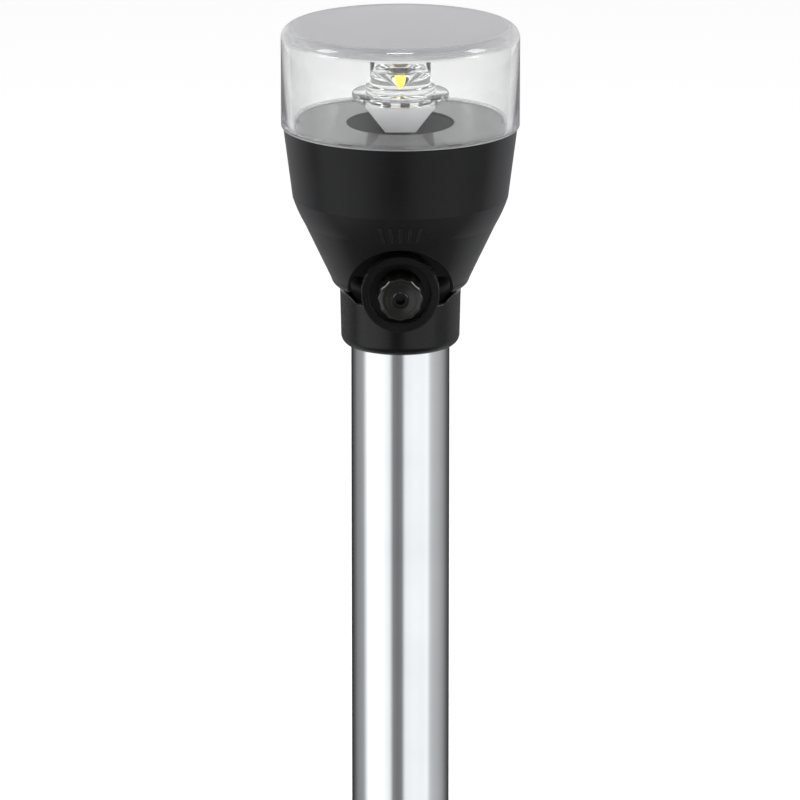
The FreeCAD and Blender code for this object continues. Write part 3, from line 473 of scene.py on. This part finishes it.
# A near-black sheet with almost no reflection, laid in the well as painted shade.
pad_matt = moulded_plastic("pad_matt", (0.003, 0.003, 0.003), (0.006, 0.006, 0.006), 0.8, 0.95,
                           specular=0.03, dusty=0.05)
pad_matt.node_tree.nodes["Principled BSDF"].inputs["IOR"].default_value = 1.02
shade_sheet = turned_piece("well_pad", soft_outline([(2.3, 40.11), (13.6, 40.11), (13.95, 40.85), (13.9, 40.88),
                                             (13.5, 40.25), (2.3, 40.25)]), height=PIVOT)
shade_sheet.data.materials.append(pad_matt)
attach(shade_sheet, "light_head")

# ---- Optic stand and light source --------------------------------------------------------------------
# A bright pressed stand, a square plate with a front and a back leg that narrow to the deck. On it sits
# the source's round board with a yellow phosphor chip.
bright_press, press_tree, press_shader = new_material("bright_press")
press_mould = place_group(press_tree, grain, Scale=500.0, Height=0.1, Low=0.28, High=0.4)
press_tree.links.new(two_tone(press_tree, press_mould.outputs["Patches"], (0.84, 0.84, 0.86),
                              (0.93, 0.93, 0.94)), press_shader.inputs["Base Color"])
press_tree.links.new(press_mould.outputs["Roughness"], press_shader.inputs["Roughness"])
press_tree.links.new(press_mould.outputs["Normal"], press_shader.inputs["Normal"])
press_shader.inputs["Metallic"].default_value = 0.3
dress("optic_stand", bright_press)
phosphor = moulded_plastic("phosphor", (0.90, 0.55, 0.03), (0.98, 0.74, 0.10), 0.4, 0.6, dusty=0.0)
phosphor.node_tree.nodes["Principled BSDF"].inputs["Emission Color"].default_value = (1.0, 0.66, 0.06, 1)
phosphor.node_tree.nodes["Principled BSDF"].inputs["Emission Strength"].default_value = 0.5
dress("led_chip", phosphor)

# ---- Optic -------------------------------------------------------------------------------------------
# Clear moulded polycarbonate: a flange that clips on the stand and a block with a deep curved well. The
# well's wall turns the chip's light out level, by total internal reflection.


def clear_plastic(name, low, high, tint=(0.975, 0.98, 0.975)):
    """Clear moulding: it bends light, lets shadows through, and its gloss varies a little."""
    material, tree, shader = new_material(name)
    mould = place_group(tree, grain, Scale=400.0, Height=0.0, Low=low, High=high)
    tree.links.new(mould.outputs["Roughness"], shader.inputs["Roughness"])
    shader.inputs["Base Color"].default_value = (*tint, 1)
    shader.inputs["Transmission Weight"].default_value = 1.0
    shader.inputs["IOR"].default_value = 1.49
    clear = tree.nodes.new("ShaderNodeBsdfTransparent")
    path = tree.nodes.new("ShaderNodeLightPath")
    mix = tree.nodes.new("ShaderNodeMixShader")
    tree.links.new(path.outputs["Is Shadow Ray"], mix.inputs[0])
    tree.links.new(shader.outputs["BSDF"], mix.inputs[1])
    tree.links.new(clear.outputs["BSDF"], mix.inputs[2])
    tree.links.new(mix.outputs["Shader"], tree.nodes["Material Output"].inputs["Surface"])
    return material, tree, shader, mix


def well_line(apex, source, rise, reach, steps=60):
    """The well's wall from its apex outwards, as points (r, z). At every point the tangent halves the
    angle between the ray from the source and a ray that leaves outwards at the given rise."""
    step = reach / steps
    radius, height = 0.0, apex
    points = [(0.0, apex)]
    for _ in range(steps):
        ray = math.hypot(radius, height - source)
        out_r, out_z = math.cos(rise) - radius / ray, math.sin(rise) - (height - source) / ray
        height -= step * out_r / out_z
        radius += step
        points.append((radius, height))
    return points


optic_clear, _, _, _ = clear_plastic("optic_clear", 0.0, 0.02)
SEEN_SOURCE = 47.9  # the height, in mm above the pivot, that the well's curve is aimed at
wall_points = well_line(50.2, SEEN_SOURCE, math.radians(12), 7.0)
optic_rest = soft_outline([(7.0, wall_points[-1][1] + 0.05), (7.1, 60.6, 0.1), (7.7, 60.6, 0.15),
                           (7.9, 51.7, 0.2), (8.9, 51.5, 0.3), (8.9, 49.4, 0.15), (12.2, 49.4, 0.15),
                           (12.5, 49.0, 0.15), (12.5, 47.9, 0.15), (12.1, 47.52, 0.15), (6.4, 47.52, 0.1),
                           (6.4, 49.6, 0.1), (0, 49.6)], steps=4)
optic = turned_piece("optic_block", np.concatenate([np.array(wall_points), optic_rest]), columns=192,
                     height=PIVOT, closed=False)
finish_piece(optic, optic_clear, "clear_plastic", "light_head", "light_optic")

# ---- Lens --------------------------------------------------------------------------------------------
# Clear moulded cap, solvent-welded over the housing's rim. Its top and its foot have a frosted finish
# from the mould; the straight side is clear with a slight haze.
lens_clear, lens_tree, lens_shader, lens_mix = clear_plastic("lens_clear", 0.0, 0.04)
lens_place = lens_tree.nodes.new("ShaderNodeSeparateXYZ")
lens_tree.links.new(lens_tree.nodes.new("ShaderNodeTexCoord").outputs["Object"], lens_place.inputs["Vector"])
lens_reach = lens_tree.nodes.new("ShaderNodeVectorMath")
lens_reach.operation = "LENGTH"
lens_flat = add_node(lens_tree, "ShaderNodeCombineXYZ", X=lens_place.outputs["X"], Y=lens_place.outputs["Y"])
lens_tree.links.new(lens_flat.outputs["Vector"], lens_reach.inputs[0])
frost_high = add_node(lens_tree, "ShaderNodeMapRange", Value=lens_place.outputs["Z"],
                      From_Min=PIVOT + 0.0630, From_Max=PIVOT + 0.0640)
frost_in = add_node(lens_tree, "ShaderNodeMapRange", Value=lens_reach.outputs["Value"],
                    From_Min=0.0292, From_Max=0.0278)
frost_top = add_node(lens_tree, "ShaderNodeMapRange", Value=frost_high.outputs["Result"],
                     To_Max=frost_in.outputs["Result"])
frost_foot = add_node(lens_tree, "ShaderNodeMapRange", Value=lens_place.outputs["Z"],
                      From_Min=PIVOT + 0.0414, From_Max=PIVOT + 0.0411)
frost = add_node(lens_tree, "ShaderNodeMath", **{"0": frost_top.outputs["Result"],
                                                  "1": frost_foot.outputs["Result"]})
frost.operation = "MAXIMUM"
frost_rough = add_node(lens_tree, "ShaderNodeMapRange", Value=frost.outputs["Value"], To_Min=0.02,
                       To_Max=0.38)
lens_tree.links.new(frost_rough.outputs["Result"], lens_shader.inputs["Roughness"])
haze = add_node(lens_tree, "ShaderNodeBsdfDiffuse", Color=(0.34, 0.34, 0.355, 1))
edge_on = add_node(lens_tree, "ShaderNodeLayerWeight", Blend=0.25)
side_haze = add_node(lens_tree, "ShaderNodeMapRange", Value=edge_on.outputs["Facing"], From_Min=0.0,
                     From_Max=1.0, To_Min=0.0, To_Max=0.55)
haze_share = add_node(lens_tree, "ShaderNodeMapRange", Value=frost.outputs["Value"],
                      To_Min=side_haze.outputs["Result"], To_Max=0.55)
hazy = add_node(lens_tree, "ShaderNodeMixShader", **{"0": haze_share.outputs["Result"],
                                                      "1": lens_shader.outputs["BSDF"],
                                                      "2": haze.outputs["BSDF"]})
lens_tree.links.new(hazy.outputs["Shader"], lens_mix.inputs[1])
LENS_R, LENS_WALL = 30.6, 2.3
lens_line = soft_outline([(0, 66.8), (LENS_R, 66.8, 3.0), (LENS_R, 40.82, 0.25), (28.55, 40.82, 0.1),
                          (28.55, 38.22, 0.2), (27.95, 38.22, 0.2), (27.95, 40.82, 0.2), (28.3, 42.3),
                          (LENS_R - LENS_WALL, 64.5, 1.7), (13.4, 64.5, 0.1), (13.4, 64.1, 0.1),
                          (12.8, 64.1, 0.1), (12.8, 64.5, 0.1), (0, 64.5)], steps=10)
lens = turned_piece("lens_cap", lens_line, columns=256, height=PIVOT, closed=False)
finish_piece(lens, lens_clear, "clear_plastic", "light_head", "lens_globe")

# ---- Floor, light and camera ---------------------------------------------------------------------------
# A plain pale floor, two large soft lights from the front, and a ring of cards that only show in
# polished metal, as in a light tent.
FLOOR_Z = cad_box[0][2] - 0.0005
floor_mesh = bpy.data.meshes.new("floor")
floor_mesh.from_pydata([(-12, -12, FLOOR_Z), (12, -12, FLOOR_Z), (12, 12, FLOOR_Z), (-12, 12, FLOOR_Z)],
                       [], [(0, 1, 2, 3)])
floor = bpy.data.objects.new("floor", floor_mesh)
bpy.context.scene.collection.objects.link(floor)
floor_paint, _, floor_shader = new_material("floor_pale")
floor_shader.inputs["Base Color"].default_value = (0.92, 0.92, 0.92, 1)
floor_shader.inputs["Roughness"].default_value = 0.9
floor_shader.inputs["Emission Color"].default_value = (1, 1, 1, 1)
floor_shader.inputs["Emission Strength"].default_value = 0.2
floor_mesh.materials.append(floor_paint)
floor.visible_glossy = False

world = bpy.data.worlds.new("studio")
bpy.context.scene.world = world
world.use_nodes = True
sky = world.node_tree
seen = add_node(sky, "ShaderNodeSeparateXYZ",
                Vector=sky.nodes.new("ShaderNodeTexCoord").outputs["Generated"])
ahead = add_node(sky, "ShaderNodeMapRange", Value=seen.outputs["Y"], From_Min=-0.85, From_Max=0.1,
                 To_Min=0.16, To_Max=1.0)
below = add_node(sky, "ShaderNodeMapRange", Value=seen.outputs["Z"], From_Min=-0.75, From_Max=0.0,
                 To_Min=0.3, To_Max=1.0)
shade = add_node(sky, "ShaderNodeMath", **{"0": ahead.outputs["Result"], "1": below.outputs["Result"]})
shade.operation = "MULTIPLY"
direct = sky.nodes.new("ShaderNodeLightPath").outputs["Is Camera Ray"]
level = add_node(sky, "ShaderNodeMix", **{"0": direct, "2": shade.outputs["Value"], "3": 1.0})
sky.links.new(level.outputs[0], sky.nodes["Background"].inputs["Strength"])
sky.nodes["Background"].inputs["Color"].default_value = (1, 1, 1, 1)


def aim(thing, place, target):
    """Put a light or the camera at a place and turn it to look at a target."""
    thing.location = place
    direction = (np.array(target) - np.array(place)).tolist()
    thing.rotation_euler = Vector(direction).to_track_quat("-Z", "Y").to_euler()


def soft_light(name, place, size, power):
    """A large square area light aimed at the head."""
    data = bpy.data.lights.new(name, "AREA")
    data.shape = "RECTANGLE"
    data.size, data.size_y = size
    data.energy = power
    light = bpy.data.objects.new(name, data)
    bpy.context.scene.collection.objects.link(light)
    aim(light, place, (0, 0, PIVOT))
    light.visible_camera = False
    return light


soft_light("left", (-1.1, -0.15, 0.95), (0.35, 0.6), 6.0)
soft_light("right", (1.1, -0.1, 0.95), (0.35, 0.6), 6.0)
soft_light("top", (0.0, -0.3, 1.35), (0.3, 0.2), 3.0)

# (bearing in degrees from the front, positive to the right, brightness)
TENT = ((-180, 0.03), (-155, 0.03), (-143, 0.07), (-128, 0.16), (-120, 0.25), (-104, 0.31), (-95, 0.38),
        (-88, 0.8), (-80, 1.25), (-44, 1.25), (-33, 1.05), (-25, 0.95), (-21, 0.6), (-17, 0.24), (-6, 0.18),
        (4, 0.23), (8, 0.7), (12, 0.95), (31, 1.02), (52, 1.0), (65, 1.05), (71, 0.75), (75, 0.6),
        (86, 0.5), (99, 0.44), (115, 0.33), (135, 0.13), (150, 0.06), (180, 0.03))
TENT_R, TENT_TOP, TENT_COLUMNS = 0.36, 0.285, 96
around = np.linspace(0, 2 * math.pi, TENT_COLUMNS, endpoint=False)
ring_x, ring_y = TENT_R * np.cos(around), TENT_R * np.sin(around)
tent_points = np.concatenate([np.stack([ring_x, ring_y, 0 * around + FLOOR_Z + 0.001], axis=-1),
                              np.stack([ring_x, ring_y, 0 * around + TENT_TOP], axis=-1)])
here, beside = np.arange(TENT_COLUMNS), (np.arange(TENT_COLUMNS) + 1) % TENT_COLUMNS
tent_mesh = bpy.data.meshes.new("light_tent")
tent_mesh.from_pydata(tent_points.tolist(), [], np.stack(
    [here, beside, beside + TENT_COLUMNS, here + TENT_COLUMNS], axis=-1).tolist())
tent = bpy.data.objects.new("light_tent", tent_mesh)
bpy.context.scene.collection.objects.link(tent)
tent_paint = bpy.data.materials.new("light_tent")
tent_paint.use_nodes = True
tent_tree = tent_paint.node_tree
tent_tree.nodes.clear()
turn = add_node(tent_tree, "ShaderNodeVectorRotate", Angle=math.radians(90),
                Vector=tent_tree.nodes.new("ShaderNodeTexCoord").outputs["Object"])
bearing = add_node(tent_tree, "ShaderNodeTexGradient", Vector=turn.outputs["Vector"])
bearing.gradient_type = "RADIAL"
tones = tent_tree.nodes.new("ShaderNodeValToRGB")
tones.color_ramp.elements.remove(tones.color_ramp.elements[1])
for number, (angle, bright) in enumerate(TENT):
    stop = tones.color_ramp.elements[0] if number == 0 else tones.color_ramp.elements.new(1)
    stop.position = (angle + 180) / 360
    stop.color = (bright * 0.97, bright * 0.985, bright, 1)
tent_tree.links.new(bearing.outputs["Fac"], tones.inputs["Fac"])
glow = add_node(tent_tree, "ShaderNodeEmission", Color=tones.outputs["Color"], Strength=1.0)
tent_tree.links.new(glow.outputs["Emission"],
                    tent_tree.nodes.new("ShaderNodeOutputMaterial").inputs["Surface"])
tent_mesh.materials.append(tent_paint)
for ray in ("visible_camera", "visible_diffuse", "visible_transmission", "visible_shadow"):
    setattr(tent, ray, False)

ELEVATION = math.radians(15)
LENS, DISTANCE = 300.0, 1.728
AIM_POINT = (-0.0001, 0.0, PIVOT - 0.0322)
camera_data = bpy.data.cameras.new("camera")
camera_data.lens = LENS
camera = bpy.data.objects.new("camera", camera_data)
bpy.context.scene.collection.objects.link(camera)
aim(camera, (AIM_POINT[0], -DISTANCE * math.cos(ELEVATION), AIM_POINT[2] + DISTANCE * math.sin(ELEVATION)),
    AIM_POINT)
bpy.context.scene.camera = camera
bpy.context.scene.view_settings.view_transform = "Standard"
